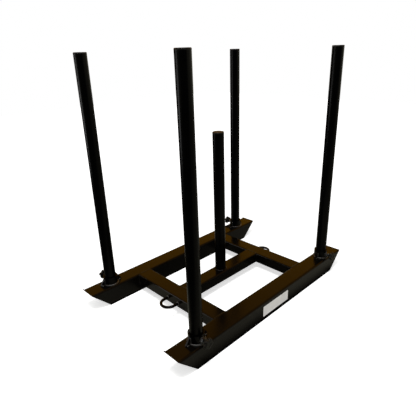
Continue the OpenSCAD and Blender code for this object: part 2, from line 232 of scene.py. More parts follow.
def patchy_finish(name, tint, shades, roughness, patch, relief, gloss):
    """A material in soft patches over a fine relief. shades are the darkest and lightest patches as shares of
    the tint, and roughness goes with them. patch is a patch's width and detail. relief is a wave's width and
    detail, its strength and its height. gloss holds the shader's other inputs."""
    finish, tree = new_finish(name)
    add = partial(add_node, tree)
    place = add("ShaderNodeTexCoord").outputs["Object"]
    width, detail = patch
    patches = add("ShaderNodeTexNoise", {"Vector": place, "Scale": 1 / width, "Detail": detail})
    width, detail, strength, height = relief
    waves = add("ShaderNodeTexNoise", {"Vector": place, "Scale": 1 / width, "Detail": detail})
    dark, light = [(*(min(part * c, 1) for c in tint), 1) for part in shades]
    tone = {"Factor_Float": patches, "A_Color": dark, "B_Color": light}
    skin = {
        "Base Color": add("ShaderNodeMix", tone, data_type="RGBA"),
        "Roughness": add("ShaderNodeMapRange", (patches, 0.3, 0.7, *roughness)),
        "Normal": add("ShaderNodeBump", {"Height": waves, "Strength": strength, "Distance": height}),
    }
    add("ShaderNodeOutputMaterial", {"Surface": add("ShaderNodeBsdfPrincipled", {**skin, **gloss})})
    return finish


def black_paint(name, tint, roughness, gloss, peel_height):
    """A black coat with a slow wave in its reflections and patches that are slightly duller."""
    # Real orange peel is 2 to 4 mm across. It is drawn at twice that, because a pixel is 4 mm here.
    peel = (bpy.context.scene.sled_finishes.peel_size, 2.0, 0.35, peel_height)
    patch = (70 * MM, 3.0)
    dullness = (roughness - 0.03, roughness + 0.05)
    return patchy_finish(name, tint, (0.7, 1.4), dullness, patch, peel, {"Specular IOR Level": gloss})


def frame_coat(name):
    """Polyester powder, sprayed on the welded frame and baked. It flows out nearly level, so the eye gets a
    deep black that mirrors the room, most of all on the tops, which are seen at a low angle."""
    looks = bpy.context.scene.sled_finishes
    return black_paint(name, looks.coat_colour, looks.coat_roughness, looks.coat_gloss, 0.2 * MM)


def post_paint(name):
    """Black stoving paint on drawn tube: thinner and smoother than powder, so the eye gets a deeper black."""
    looks = bpy.context.scene.sled_finishes
    return black_paint(name, looks.post_colour, looks.post_roughness, looks.post_gloss, 0.02 * MM)


def weld_coat(name):
    """The same powder, thin over the ripples of a weld: duller, a little greyer, with broad glints."""
    looks = bpy.context.scene.sled_finishes
    return black_paint(name, looks.weld_colour, looks.weld_roughness, looks.weld_gloss, 0.3 * MM)


def moulded_plastic(name):
    """Black polypropylene, injection moulded in an eroded tool, which leaves a fine grain and a soft sheen."""
    looks = bpy.context.scene.sled_finishes
    # The real grain is about 0.3 mm. It is drawn at 0.8 mm so that it shows in a close view.
    grain = (0.8 * MM, 1.0, 0.4, 0.06 * MM)
    sheen = {"Specular IOR Level": looks.plastic_gloss}
    return patchy_finish(name, looks.plastic_colour, (0.8, 1.2), (0.4, 0.5), (15 * MM, 2.0), grain, sheen)


def plated_metal(name, tint, roughness):
    """Metal with a bright skin and faint cloudy patches, where the bath or the tool left it duller."""
    clouds = (4 * MM, 4.0)
    pores = (*clouds, 0.15, 0.05 * MM)
    return patchy_finish(name, tint, (0.85, 1.1), roughness, clouds, pores, {"Metallic": 1.0})


def zinc_plate(name):
    """Bright zinc electroplate on steel: a bluish white metal, slightly cloudy."""
    return plated_metal(name, bpy.context.scene.sled_finishes.zinc_colour, (0.26, 0.38))


def turned_brass(name):
    """Free-cutting brass, turned and left bare: a warm yellow metal with a soft shine."""
    return plated_metal(name, bpy.context.scene.sled_finishes.brass_colour, (0.22, 0.34))


def white_vinyl(name):
    """Cast white vinyl on a thin plate: smooth, with a soft gloss and a faint waviness from pressing."""
    ripple = (12 * MM, 2.0)
    tint = bpy.context.scene.sled_finishes.plate_colour
    return patchy_finish(name, tint, (0.95, 1.0), (0.3, 0.42), ripple, (*ripple, 0.2, 0.1 * MM), {})


FINISHES = {
    "black_coat": ("black powder coat", frame_coat),
    "post_paint": ("black stoving paint", post_paint),
    "weld_coat": ("powder coat over weld", weld_coat),
    "black_plastic": ("black moulded polypropylene", moulded_plastic),
    "zinc": ("bright zinc plate", zinc_plate),
    "brass": ("turned brass", turned_brass),
    "white_plate": ("white cast vinyl", white_vinyl),
}


def finish_of(key):
    """One of the finishes, made when it is first asked for."""
    name, make = FINISHES[key]
    return bpy.data.materials.get(name) or make(name)


def paint(key, nodes):
    """Gives CAD nodes a finish."""
    for name in nodes:
        piece = frame["nodes"][name]
        if not piece.material_slots:
            raise RuntimeError(name + " has no material slot")
        for place in piece.material_slots:
            place.material = finish_of(key)


def nodes_of(slot):
    """The CAD nodes that the record gives to a material slot."""
    return [part["node"] for part in frame["record"]["subparts"] if part["material_slot"] == slot]


# Meshes


def skin_through(name, rings, place, joined=False):
    """A closed mesh through rings of points, moved to its place. A ring of one point closes an end, and joined
    ties the last ring to the first."""
    points, faces, starts = [], [], []
    for ring in rings:
        starts.append(len(points))
        points.extend(ring)
    pairs = list(zip(range(len(rings)), range(1, len(rings))))
    if joined:
        pairs.append((len(rings) - 1, 0))
    for a, b in pairs:
        count = max(len(rings[a]), len(rings[b]))
        for i in range(count):
            j = (i + 1) % count
            if len(rings[a]) == 1:
                faces.append((starts[a], starts[b] + i, starts[b] + j))
            elif len(rings[b]) == 1:
                faces.append((starts[a] + i, starts[b], starts[a] + j))
            else:
                faces.append((starts[a] + i, starts[b] + i, starts[b] + j, starts[a] + j))
    mesh = bpy.data.meshes.new(name)
    mesh.from_pydata(points, [], faces)
    shell = bmesh.new()
    shell.from_mesh(mesh)
    bmesh.ops.recalc_face_normals(shell, faces=shell.faces)
    shell.to_mesh(mesh)
    shell.free()
    mesh.transform(place)
    return mesh


def add_piece(name, mesh, key, body, stands_for=(), crease=35):
    """A finished piece: in its finish, smooth but for creases past so many degrees, riding on its body."""
    mesh.materials.clear()
    mesh.materials.append(finish_of(key))
    mesh.shade_smooth()
    mesh.set_sharp_from_angle(angle=math.radians(crease))
    piece = bpy.data.objects.new(name, mesh)
    bpy.context.scene.collection.objects.link(piece)
    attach(piece, body)
    if stands_for:
        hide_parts(*stands_for)
    return piece


def spoke(radius, turn, height):
    """A point round the Z axis."""
    return Vector((radius * math.cos(turn), radius * math.sin(turn), height))


def turns_of(count):
    """Angles that divide a full turn evenly."""
    return [math.tau * i / count for i in range(count)]


def circle(radius, height, count):
    """A ring of points round the Z axis."""
    return [spoke(radius, turn, height) for turn in turns_of(count)]


def middle(node):
    """The middle of a CAD node's box."""
    low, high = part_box(node)
    return (low + high) / 2


def screw_frame(corner):
    """Places what is drawn round a locking screw's axis: X along the sled, Y up, Z outwards."""
    post = middle(corner + "_push_post")
    out = Vector((math.copysign(1, post.x), 0, 0))
    turn = Matrix((UP.cross(out), UP, out)).transposed().to_4x4()
    return Matrix.Translation((post.x, post.y, middle(corner + "_screw").z)) @ turn


def reach(corner, node):
    """How far from the post's axis a node starts and ends, outwards."""
    axis = middle(corner + "_push_post").x
    low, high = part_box(corner + "_" + node)
    return sorted((abs(low.x - axis), abs(high.x - axis)))


# Weld beads

RING_POINTS = 72
BEAD_SIDES = 14


def bead_tree():
    """Geometry Nodes: a rippled weld bead along each edge path. The paths carry their radius, the way that
    their crown faces and how far they are flattened."""
    tree = bpy.data.node_groups.new("weld bead", "GeometryNodeTree")
    add = partial(add_node, tree)
    tree.interface.new_socket("Path", in_out="INPUT", socket_type="NodeSocketGeometry")
    sizes = {"Step": 0.6 * MM, "Ripple Pitch": 3 * MM, "Ripple Height": 0.4 * MM, "Crescent": 0.8}
    for name, default in sizes.items():
        tree.interface.new_socket(name, in_out="INPUT", socket_type="NodeSocketFloat").default_value = default
    tree.interface.new_socket("Finish", in_out="INPUT", socket_type="NodeSocketMaterial")
    tree.interface.new_socket("Bead", in_out="OUTPUT", socket_type="NodeSocketGeometry")

    given = add("NodeGroupInput").outputs
    line = add("GeometryNodeMeshToCurve", {"Mesh": given["Path"]})
    line = add("GeometryNodeResampleCurve", {"Curve": line, "Length": given["Step"]}, mode="LENGTH")

    # Ripples are counted along the path, a whole number of them, so that a ring's last one meets its first
    along = add("GeometryNodeSplineParameter").outputs
    total = add("GeometryNodeSplineLength").outputs["Length"]
    count = add("ShaderNodeMath", (total, given["Ripple Pitch"]), operation="DIVIDE")
    count = add("ShaderNodeMath", (count,), operation="ROUND")
    phase = add("ShaderNodeMath", (along["Factor"], count), operation="MULTIPLY")
    core = add("GeometryNodeInputPosition")
    for name, value, kind in (("ripple", phase, "FLOAT"), ("core", core, "FLOAT_VECTOR")):
        kept = {"Geometry": line, "Name": name, "Value": value}
        line = add("GeometryNodeStoreNamedAttribute", kept, data_type=kind, domain="POINT")

    # An open bead starts and ends in a rounded blob, one radius long, that closes at a quarter of the radius
    radius = add("GeometryNodeInputNamedAttribute", {"Name": "bead_radius"}, data_type="FLOAT")
    left = add("ShaderNodeMath", (total, along["Length"]), operation="SUBTRACT")
    near = add("ShaderNodeMath", (along["Length"], left), operation="MINIMUM")
    near = add("ShaderNodeMath", (near, radius), operation="DIVIDE", use_clamp=True)
    rest = add("ShaderNodeMath", (1.0, near), operation="SUBTRACT")
    rest = add("ShaderNodeMath", (rest, 2.0), operation="POWER")
    blob = add("ShaderNodeMath", (1.0, rest), operation="SUBTRACT")
    blob = add("ShaderNodeMath", (blob,), operation="SQRT")
    blob = add("ShaderNodeMath", (blob, 0.25), operation="MAXIMUM")
    blob = add("ShaderNodeMath", (blob, add("GeometryNodeInputSplineCyclic")), operation="MAXIMUM")
    swept = {
        "Curve": line,
        "Profile Curve": add("GeometryNodeCurvePrimitiveCircle", {"Resolution": BEAD_SIDES, "Radius": 1.0}),
        "Scale": add("ShaderNodeMath", (blob, radius), operation="MULTIPLY"),
        "Fill Caps": True,
    }
    bead = add("GeometryNodeCurveToMesh", swept)

    # A bead that fills a groove is flattened towards its core
    crown = add("GeometryNodeInputNamedAttribute", {"Name": "crown"}, data_type="FLOAT_VECTOR")
    crown = add("ShaderNodeVectorMath", (crown,), operation="NORMALIZE")
    core = add("GeometryNodeInputNamedAttribute", {"Name": "core"}, data_type="FLOAT_VECTOR")
    flat = add("GeometryNodeInputNamedAttribute", {"Name": "flat"}, data_type="FLOAT")
    out = add("ShaderNodeVectorMath", (add("GeometryNodeInputPosition"), core), operation="SUBTRACT")
    high = add("ShaderNodeVectorMath", (out, crown), operation="DOT_PRODUCT")
    press = add("ShaderNodeMath", (high, flat), operation="MULTIPLY")
    press = add("ShaderNodeMath", (press, -1.0), operation="MULTIPLY")
    down = add("ShaderNodeVectorMath", {"Vector": crown, "Scale": press}, operation="SCALE")
    bead = add("GeometryNodeSetPosition", {"Geometry": bead, "Offset": down})

    # Each ripple lags at the bead's edges, which gives it the shape of a crescent
    normal = add("GeometryNodeInputNormal").outputs["Normal"]
    facing = add("ShaderNodeVectorMath", (normal, crown), operation="DOT_PRODUCT")
    facing = add("ShaderNodeMath", (facing, 0.0), operation="MAXIMUM")
    lead = add("ShaderNodeMath", (facing, given["Crescent"]), operation="MULTIPLY")
    turn = add("GeometryNodeInputNamedAttribute", {"Name": "ripple"}, data_type="FLOAT")
    turn = add("ShaderNodeMath", (turn, lead), operation="ADD")
    turn = add("ShaderNodeMath", (turn, math.pi), operation="MULTIPLY")
    swell = add("ShaderNodeMath", (turn,), operation="SINE")
    swell = add("ShaderNodeMath", (swell,), operation="ABSOLUTE")
    swell = add("ShaderNodeMath", (swell, facing), operation="MULTIPLY")
    lift = add("ShaderNodeMath", (swell, given["Ripple Height"]), operation="MULTIPLY")
    lift = add("ShaderNodeVectorMath", {"Vector": normal, "Scale": lift}, operation="SCALE")
    bead = add("GeometryNodeSetPosition", {"Geometry": bead, "Offset": lift})
    bead = add("GeometryNodeRealizeInstances", {"Geometry": bead})
    bead = add("GeometryNodeSetMaterial", {"Geometry": bead, "Material": given["Finish"]})
    add("NodeGroupOutput", (bead,))
    return tree


def run(points, crowns, radius, ring=False, flat=0.0):
    """One weld run: the points of its centre line, the way that its crown faces at each, its radius, and how
    far it is flattened, from 0, round, to 1, a sheet."""
    if isinstance(crowns, Vector):
        crowns = [crowns] * len(points)
    crowns = [crown.normalized() for crown in crowns]
    return {"points": points, "crowns": crowns, "radius": radius, "ring": ring, "flat": flat}


def fillet(leg):
    """Sink and radius of a round bead whose face meets both plates one leg from their corner."""
    sunk_share = 0.15
    sink = sunk_share * leg
    return sink, math.hypot(leg - sink, sink)


def ring_run(centre, radius, axis, leg):
    """A ring weld round a tube that stands on a flat face. axis points away from the face."""
    sink, bead = fillet(leg)
    turn = UP.rotation_difference(axis).to_matrix()
    outs = [turn @ out for out in circle(1, 0, RING_POINTS)]
    points = [centre + out * (radius + sink) + axis * sink for out in outs]
    return run(points, [out + axis for out in outs], bead, ring=True)


def groove_run(centre, side, half, crown, edge_radius):
    """A flat bead that fills the groove over a tube's rounded edge, stands a little proud and bends over the
    corners of the tube that ends there."""
    sizes = bpy.context.scene.sled_sizes
    overlap = 0.3 * MM
    bead, corner = edge_radius / 2 + overlap, sizes.cross_corner
    thick = 2 * sizes.groove_crown
    points, crowns = [], []
    for sign in (-1, 1):
        for bend in (60, 40, 20, 0)[::-sign]:
            turn = math.radians(bend)
            away = side * sign * math.sin(turn) + crown * math.cos(turn)
            points.append(centre + side * sign * half - crown * corner + away * (corner - thick / 2))
            crowns.append(away)
    return run(points, crowns, bead, flat=1 - thick / bead)


def butt_runs(joint, wall, half, low, high, face_corner, goes_on):
    """Welds at a tube's end. joint is the joint's place on the plan, wall points into the face that the tube
    meets. Where that face goes on below the tube, one fillet runs down a side, under the tube and up again."""
    sizes = bpy.context.scene.sled_sizes
    sink, bead = fillet(sizes.frame_bead)
    corner = sizes.cross_corner
    side = UP.cross(wall)

    def at(across, height, way):
        return joint + side * across + UP * height - wall * sink + way * sink, way - wall

    sides = []
    for sign in (-1, 1):
        top = at(sign * half, high - face_corner / 2, side * sign)
        bottom = at(sign * half, low + corner, side * sign)
        sides.append([top, bottom])
    if goes_on:
        bends = []
        for sign in (-1, 1):
            ways = [side * sign * math.cos(a) - UP * math.sin(a) for a in QUARTER]
            laid = [(at(sign * (half - corner), low + corner, way), way) for way in ways]
            bends.append([(point + way * corner, crown) for (point, crown), way in laid])
        line = [sides[0][0]] + bends[0] + bends[1][::-1] + [sides[1][0]]
        runs = [run(*zip(*line), bead)]
    else:
        runs = [run(*zip(*line), bead) for line in sides]
        foot = joint + wall * face_corner / 2 + UP * low
        runs.append(groove_run(foot, side, half - corner, -UP, face_corner))
    crest = joint + wall * face_corner / 2 + UP * high
    runs.append(groove_run(crest, side, half - corner, UP, face_corner))
    return runs


def frame_runs():
    """The welds that join the crossmembers to the runners and the beam to the crossmembers."""
    sizes = bpy.context.scene.sled_sizes
    runs = []
    for node in ("front_crossmember", "rear_crossmember"):
        low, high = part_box(node)
        for x, way in ((low.x, -1), (high.x, 1)):
            joint = Vector((x, (low.y + high.y) / 2, 0))
            half = (high.y - low.y) / 2
            runs += butt_runs(joint, Vector((way, 0, 0)), half, low.z, high.z, sizes.runner_corner, True)
    low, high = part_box("centre_beam")
    for y, way in ((low.y, -1), (high.y, 1)):
        joint = Vector(((low.x + high.x) / 2, y, 0))
        half = (high.x - low.x) / 2
        runs += butt_runs(joint, Vector((0, way, 0)), half, low.z, high.z, sizes.cross_corner, False)
    return runs


def upright_run(node):
    """The ring weld at the foot of an upright tube."""
    low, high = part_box(node)
    centre = middle(node)
    centre.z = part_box("left_runner")[1].z
    return ring_run(centre, (high.x - low.x) / 2, UP, bpy.context.scene.sled_sizes.ring_bead)


def foot_runs():
    """The ring welds at the sockets and the legs of the tow eyes."""
    sizes = bpy.context.scene.sled_sizes
    runs = [upright_run(corner + "_socket") for corner in CORNERS]
    for node, way in (("front_tow_eye", -1), ("rear_tow_eye", 1)):
        low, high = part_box(node)
        bar = (high.z - low.z) / 2
        face = low.y if way > 0 else high.y
        for x in (low.x + bar, high.x - bar):
            runs.append(ring_run(Vector((x, face, low.z + bar)), bar, Vector((0, way, 0)), sizes.small_bead))
    return runs


def gusset_runs(corner):
    """The welds along both faces of a socket's two gusset plates: at the foot, and up the socket's wall."""
    sizes = bpy.context.scene.sled_sizes
    sink, bead = fillet(sizes.plate_bead)
    low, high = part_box(corner + "_gussets")
    post = middle(corner + "_push_post")
    socket_low, socket_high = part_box(corner + "_socket")
    wall = (socket_high.x - socket_low.x) / 2
    past_ring = 1.3 * sizes.ring_bead
    runs = []
    for side in (-1, 1):
        face = Vector((side, 0, 0))
        across = side * ((high.x - low.x) / 2 + sink)
        for way in (-1, 1):
            ahead = Vector((0, way, 0))
            near, far = wall + past_ring, (high.y - low.y) / 2 - bead
            foot = [Vector((post.x + across, post.y + way * y, low.z + sink)) for y in (near, far)]
            runs.append(run(foot, face + UP, bead))
            y = post.y + way * math.sqrt((wall + sink) ** 2 - across**2)
            top = sizes.gusset_height - bead
            rise = [Vector((post.x + across, y, low.z + z)) for z in (past_ring, top)]
            runs.append(run(rise, face + ahead, bead))
    return runs


def nut_run(corner):
    """The weld round a nut's foot, where it meets the socket's round wall."""
    sizes = bpy.context.scene.sled_sizes
    sink, bead = fillet(0.8 * sizes.small_bead)
    rounded = 0.56 * sizes.nut_flats
    low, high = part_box(corner + "_socket")
    wall = (high.x - low.x) / 2 + sink
    place = screw_frame(corner)
    points, crowns = [], []
    for turn in turns_of(RING_POINTS):
        out = min(hexagon(turn, sizes.nut_flats / 2), rounded) + sink
        along, rise = out * math.cos(turn), out * math.sin(turn)
        points.append(place @ Vector((along, rise, math.sqrt(wall**2 - along**2))))
        away = spoke(1, turn, 0) + Vector((along, 0, wall)).normalized()
        crowns.append(place.to_3x3() @ away)
    return run(points, crowns, bead, ring=True)


def lay_beads(name, runs, key, stands_for=()):
    """Lays weld beads along the runs and turns them into one plain mesh on the frame."""
    sizes = bpy.context.scene.sled_sizes
    points, edges, crowns, radii, flats = [], [], [], [], []
    for each in runs:
        start = len(points)
        count = len(each["points"])
        points += each["points"]
        crowns += each["crowns"]
        radii += [each["radius"]] * count
        flats += [each["flat"]] * count
        edges += [(start + i, start + i + 1) for i in range(count - 1)]
        if each["ring"]:
            edges.append((start + count - 1, start))
    paths = bpy.data.meshes.new(name + "_paths")
    paths.from_pydata(points, edges, [])
    paths.attributes.new("bead_radius", "FLOAT", "POINT").data.foreach_set("value", radii)
    paths.attributes.new("flat", "FLOAT", "POINT").data.foreach_set("value", flats)
    ways = [part for crown in crowns for part in crown]
    paths.attributes.new("crown", "FLOAT_VECTOR", "POINT").data.foreach_set("vector", ways)
    guide = bpy.data.objects.new(name + "_paths", paths)
    bpy.context.scene.collection.objects.link(guide)
    tree = bpy.data.node_groups.get("weld bead") or bead_tree()
    layer = guide.modifiers.new("bead", "NODES")
    layer.node_group = tree
    given = {"Ripple Pitch": sizes.ripple_pitch, "Ripple Height": sizes.ripple_height}
    given["Finish"] = finish_of(key)
    for socket in tree.interface.items_tree:
        if socket.name in given:
            layer[socket.identifier] = given[socket.name]
    laid = guide.evaluated_get(bpy.context.evaluated_depsgraph_get())
    mesh = bpy.data.meshes.new_from_object(laid)
    bpy.data.objects.remove(guide)
    if not mesh.polygons:
        raise RuntimeError(name + " has no beads")
    for spare in ("bead_radius", "flat", "crown", "ripple", "core"):
        mesh.attributes.remove(mesh.attributes[spare])
    mesh.name = name
    return add_piece(name, mesh, key, ROOT, stands_for, crease=60)


# Locking screws

THREAD_CUT = 0.6134  # depth of an outside metric thread, as a share of its pitch
ROWS_A_PITCH = 12
SCREW_POINTS = 36
NUT_POINTS = 96
LOBE_POINTS = 24


def thread_depth(phase):
    """How deep a metric thread is cut, from 0 on its crest to 1 at its root, at a share of its pitch. Its
    crest is an eighth of the pitch wide and its root a quarter."""
    from_crest = min(phase, 1 - phase)
    return min(max((from_crest - 1 / 16) / (5 / 16), 0), 1)


def threaded_screw(corner):
    """A screw with its whole thread, a plain nose for the thrust pad, and a chamfer behind the nose."""
    sizes = bpy.context.scene.sled_sizes
    low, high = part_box(corner + "_screw")
    crest = (high.z - low.z) / 2
    pitch = sizes.thread_pitch
    cut = THREAD_CUT * pitch
    start, end = reach(corner, "screw")
    shoulder = start + sizes.nose_length
    nose = sizes.nose_radius
    break_edge = 0.4 * MM
    rings = [circle(0, start, 1), circle(nose - break_edge, start, SCREW_POINTS)]
    rings += [circle(nose, start + break_edge, SCREW_POINTS), circle(nose, shoulder, SCREW_POINTS)]
    rows = round((end - shoulder) / pitch * ROWS_A_PITCH)
    for row in range(rows + 1):
        height = shoulder + (end - shoulder) * row / rows
        chamfered = crest - cut + (height - shoulder)
        ring = []
        for turn in turns_of(SCREW_POINTS):
            radius = crest - cut * thread_depth((height / pitch - turn / math.tau) % 1)
            ring.append(spoke(min(radius, chamfered), turn, height))
        rings.append(ring)
    rings.append(circle(0, end, 1))
    return skin_through(corner + "_threaded_screw", rings, screw_frame(corner))


def hexagon(turn, apothem):
    """Distance from a hexagon's middle to its edge, with a corner at turn 0."""
    return apothem / math.cos(turn % (math.pi / 3) - math.pi / 6)


def weld_nut(corner):
    """A hexagon nut, chamfered on its outer face and shaped at its foot to the socket's wall."""
    sizes = bpy.context.scene.sled_sizes
    low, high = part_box(corner + "_socket")
    seat = 0.05 * MM
    wall = (high.x - low.x) / 2 + seat
    face = reach(corner, "nut")[1]
    apothem, bore = sizes.nut_flats / 2, sizes.nut_bore
    flat = 0.96 * apothem
    lead = 0.6 * MM

    def ring(radius_at, height_at):
        made = []
        for turn in turns_of(NUT_POINTS):
            radius = radius_at(turn)
            made.append(spoke(radius, turn, height_at(radius, radius * math.cos(turn))))
        return made

    def foot(radius, along):
        return math.sqrt(wall**2 - along**2)

    def slope(radius, along):
        return face - max(0, radius - flat) * math.tan(math.radians(30))

    rings = [
        ring(lambda turn: hexagon(turn, apothem), foot),
        ring(lambda turn: hexagon(turn, apothem), slope),
        ring(lambda turn: flat, slope),
        ring(lambda turn: bore + lead, slope),
        ring(lambda turn: bore, lambda radius, along: face - lead),
        ring(lambda turn: bore, foot),
    ]
    return skin_through(corner + "_weld_nut", rings, screw_frame(corner), joined=True)


def star_knob(corner):
    """A moulded star knob: rounded lobes in one flowing outline, a crowned face with a dish, and a hub."""
    sizes = bpy.context.scene.sled_sizes
    foot, face = reach(corner, "knob")
    low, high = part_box(corner + "_knob")
    neck = foot + sizes.knob_hub_height
    bore_end = reach(corner, "screw")[1]
    bore, hub, edge, lobe = sizes.nut_bore, sizes.knob_hub_radius, sizes.knob_edge, sizes.knob_lobe_radius
    post = middle(corner + "_push_post")
    first = -math.pi / 2 if post.x > 0 else math.pi / 2
    axis = middle(corner + "_screw").z
    tip = max(high.z - axis, axis - low.z)
    count = LOBE_POINTS * sizes.knob_lobes
    crown, bevel, rounding, flare, soft = 0.5 * MM, 0.5 * MM, 1 * MM, 1.5 * MM, 3 * MM

    def outline(turn):
        """Radius of the star: its lobes over its web, with a soft valley where they meet."""
        step = math.tau / sizes.knob_lobes
        off = (turn - first + step / 2) % step - step / 2
        centre = tip - lobe
        inside = max(lobe**2 - (centre * math.sin(off)) ** 2, 0)
        arm, web = centre * math.cos(off) + math.sqrt(inside), sizes.knob_web_radius
        blend = max(soft - abs(arm - web), 0) / soft
        return max(arm, web) + blend**2 * soft / 4

    def star(inset, height):
        return [spoke(min(outline(turn), tip) - inset, turn, height) for turn in turns_of(count)]

    rings = [circle(0, bore_end, 1), circle(bore, bore_end, count), circle(bore, foot + bevel, count)]
    rings.append(circle(bore + bevel, foot, count))
    for a in QUARTER:
        rings.append(circle(hub - rounding * (1 - math.sin(a)), foot + rounding * (1 - math.cos(a)), count))
    for a in QUARTER:
        rings.append(circle(hub + flare * (1 - math.cos(a)), neck - flare * (1 - math.sin(a)), count))
    rings += [star(edge - edge * math.sin(a), neck + edge - edge * math.cos(a)) for a in QUARTER]
    shoulder = face - crown - edge
    rings += [star(edge - edge * math.cos(a), shoulder + edge * math.sin(a)) for a in QUARTER]
    dish, deep = sizes.knob_dish_radius, sizes.knob_dish_depth
    rings.append([p.lerp(Vector((0, 0, face)), 0.25) for p in star(edge, face - crown)])
    # The dish's rounded edge and foot, out from its wall and down from the face
    for out, down in (
        (0.9 * MM, 0),
        (0.3 * MM, 0.1 * MM),
        (0, 0.4 * MM),
        (-0.2 * MM, deep - 0.3 * MM),
        (-0.6 * MM, deep),
    ):
        rings.append(circle(dish + out, face - down, count))
    rings.append(circle(0, face - deep - 0.2 * MM, 1))
    return skin_through(corner + "_star_knob", rings, screw_frame(corner))


# Stage


def dim_towards(tree, way, heading, low, high, left):
    """A share of light that falls smoothly to what is left, while a place or a ray goes from low to high
    along a heading. For a place they are metres, and for a ray they are cosines. On the floor the share is
    painted shade in the colour that gloss sees."""
    dark = (math.cos(heading), math.sin(heading), 0)
    along = add_node(tree, "ShaderNodeVectorMath", (way, dark), operation="DOT_PRODUCT")
    fall = (along, low, high, 1.0, left)
    return add_node(tree, "ShaderNodeMapRange", fall, interpolation_type="SMOOTHSTEP")


def pale_floor():
    """Matt white paper. It shows as the white backdrop and still takes the sled's shadow. The sled's gloss
    shows the paper as the lamps light it, over a colour with painted shade where little light gets in."""
    looks = bpy.context.scene.sled_finishes
    stage = bpy.context.scene.sled_stage
    finish, tree = new_finish("matt white paper")
    add = partial(add_node, tree)
    path = add("ShaderNodeLightPath").outputs
    place = add("ShaderNodeTexCoord").outputs["Object"]
    away = add("ShaderNodeVectorMath", (place,), operation="LENGTH")

    # The lamps' light fades with distance, so the paper is lifted more from 0.6 m to 3 m out
    lift = add("ShaderNodeMapRange", (away, 0.6, 3.0, stage.floor_lift, 1.0), interpolation_type="SMOOTHSTEP")
    seen = add("ShaderNodeMath", (path["Is Camera Ray"], path["Is Transmission Ray"]), operation="MAXIMUM")
    lift = add("ShaderNodeMath", (seen, lift), operation="MULTIPLY")

    # The colour that gloss sees has painted shade: darker out in front, under the sled, beside its runners and
    # on the dim side. Each line says from where to where the painted shade lifts, in metres, and between which
    # shares.
    axes = add("ShaderNodeSeparateXYZ", (place,)).outputs
    beside = add("ShaderNodeMath", (axes["X"],), operation="ABSOLUTE")
    beside = add("ShaderNodeMath", (beside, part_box("right_runner")[1].x), operation="SUBTRACT")
    beside = add("ShaderNodeMath", (beside,), operation="ABSOLUTE")
    lit = dim_towards(tree, place, stage.dim_way, 0.4, 0.8, stage.dim_share)
    for growth in (
        (axes["Y"], -0.8, -0.45, 0.04, 0.5),
        (away, 0.2, 0.42, 0.25, 1.0),
        (beside, 0.0, 0.055, 0.1, 1.0),
    ):
        part = add("ShaderNodeMapRange", growth, interpolation_type="SMOOTHSTEP")
        lit = add("ShaderNodeMath", (lit, part), operation="MULTIPLY")
    # The paper's colour for gloss, darkened by the painted shade
    gleam = {"Factor_Float": lit, "A_Color": BLACK, "B_Color": (*looks.gleam_colour, 1)}
    gleam = add("ShaderNodeMix", gleam, data_type="RGBA")
    tone = {"Factor_Float": path["Is Glossy Ray"], "A_Color": (*looks.floor_colour, 1), "B_Color": gleam}
    paper = {
        "Base Color": add("ShaderNodeMix", tone, data_type="RGBA"),
        "Roughness": 0.9,
        "Specular IOR Level": 0.1,
        "Emission Color": WHITE,
        "Emission Strength": lift,
    }
    add("ShaderNodeOutputMaterial", {"Surface": add("ShaderNodeBsdfPrincipled", paper)})
    return finish


def surroundings():
    """A white backdrop for the camera and even light for matt surfaces. Gloss sees the backdrop low down, a
    warm wall above it behind the sled, which browns the sled's tops, and a dim grey room elsewhere."""
    looks = bpy.context.scene.sled_finishes
    stage = bpy.context.scene.sled_stage
    world = bpy.data.worlds.new("studio")
    world.use_nodes = True
    tree = world.node_tree
    tree.nodes.clear()
    add = partial(add_node, tree)
    path = add("ShaderNodeLightPath").outputs
    way = add("ShaderNodeTexCoord").outputs["Generated"]

    # The backdrop is dimmer on the room's dim side and at its open front
    dim_side = dim_towards(tree, way, stage.dim_way, 0.4, 0.8, stage.dim_share)
    dim_front = dim_towards(tree, way, stage.room_front, 0.45, 0.75, 0.05)
    lit = add("ShaderNodeMath", (dim_side, dim_front), operation="MULTIPLY")
    backdrop = add("ShaderNodeBackground", ((*looks.gleam_colour, 1), lit))

    # The warm wall runs a little past the sled's sides. Wall and room start 7 to 13 degrees above the ground.
    back = (-math.cos(stage.room_front), -math.sin(stage.room_front), 0)
    behind = add("ShaderNodeVectorMath", (way, back), operation="DOT_PRODUCT")
    behind = add("ShaderNodeMapRange", (behind, -0.35, 0.1), interpolation_type="SMOOTHSTEP")
    room = add("ShaderNodeBackground", (WHITE, stage.room_strength))
    wall = add("ShaderNodeBackground", ((*looks.wall_colour, 1), 1.0))
    high = add("ShaderNodeMixShader", (behind, room, wall))
    height = add("ShaderNodeSeparateXYZ", (way,)).outputs["Z"]
    start, end = math.sin(math.radians(7)), math.sin(math.radians(13))
    above = add("ShaderNodeMapRange", (height, start, end), interpolation_type="SMOOTHSTEP")
    gloss = add("ShaderNodeMixShader", (above, backdrop, high))

    fill = add("ShaderNodeBackground", (WHITE, stage.fill_strength))
    sky = add("ShaderNodeMixShader", (path["Is Glossy Ray"], fill, gloss))
    seen = add("ShaderNodeMath", (path["Is Camera Ray"], path["Is Transmission Ray"]), operation="MAXIMUM")
    sky = add("ShaderNodeMixShader", (seen, sky, add("ShaderNodeBackground", (WHITE, 1.0))))
    add("ShaderNodeOutputWorld", (sky,))
    return world


def hang_lamp(name, place, power, size):
    """A square area lamp that faces the sled."""
    lamp = bpy.data.lights.new(name, "AREA")
    lamp.shape = "SQUARE"
    lamp.size = size
    lamp.energy = power
    holder = bpy.data.objects.new(name, lamp)
    holder.visible_camera = False
    bpy.context.scene.collection.objects.link(holder)
    holder.location = place
    aim = Vector((0, 0, 0.2))
    holder.rotation_euler = (aim - Vector(place)).to_track_quat("-Z", "Y").to_euler()


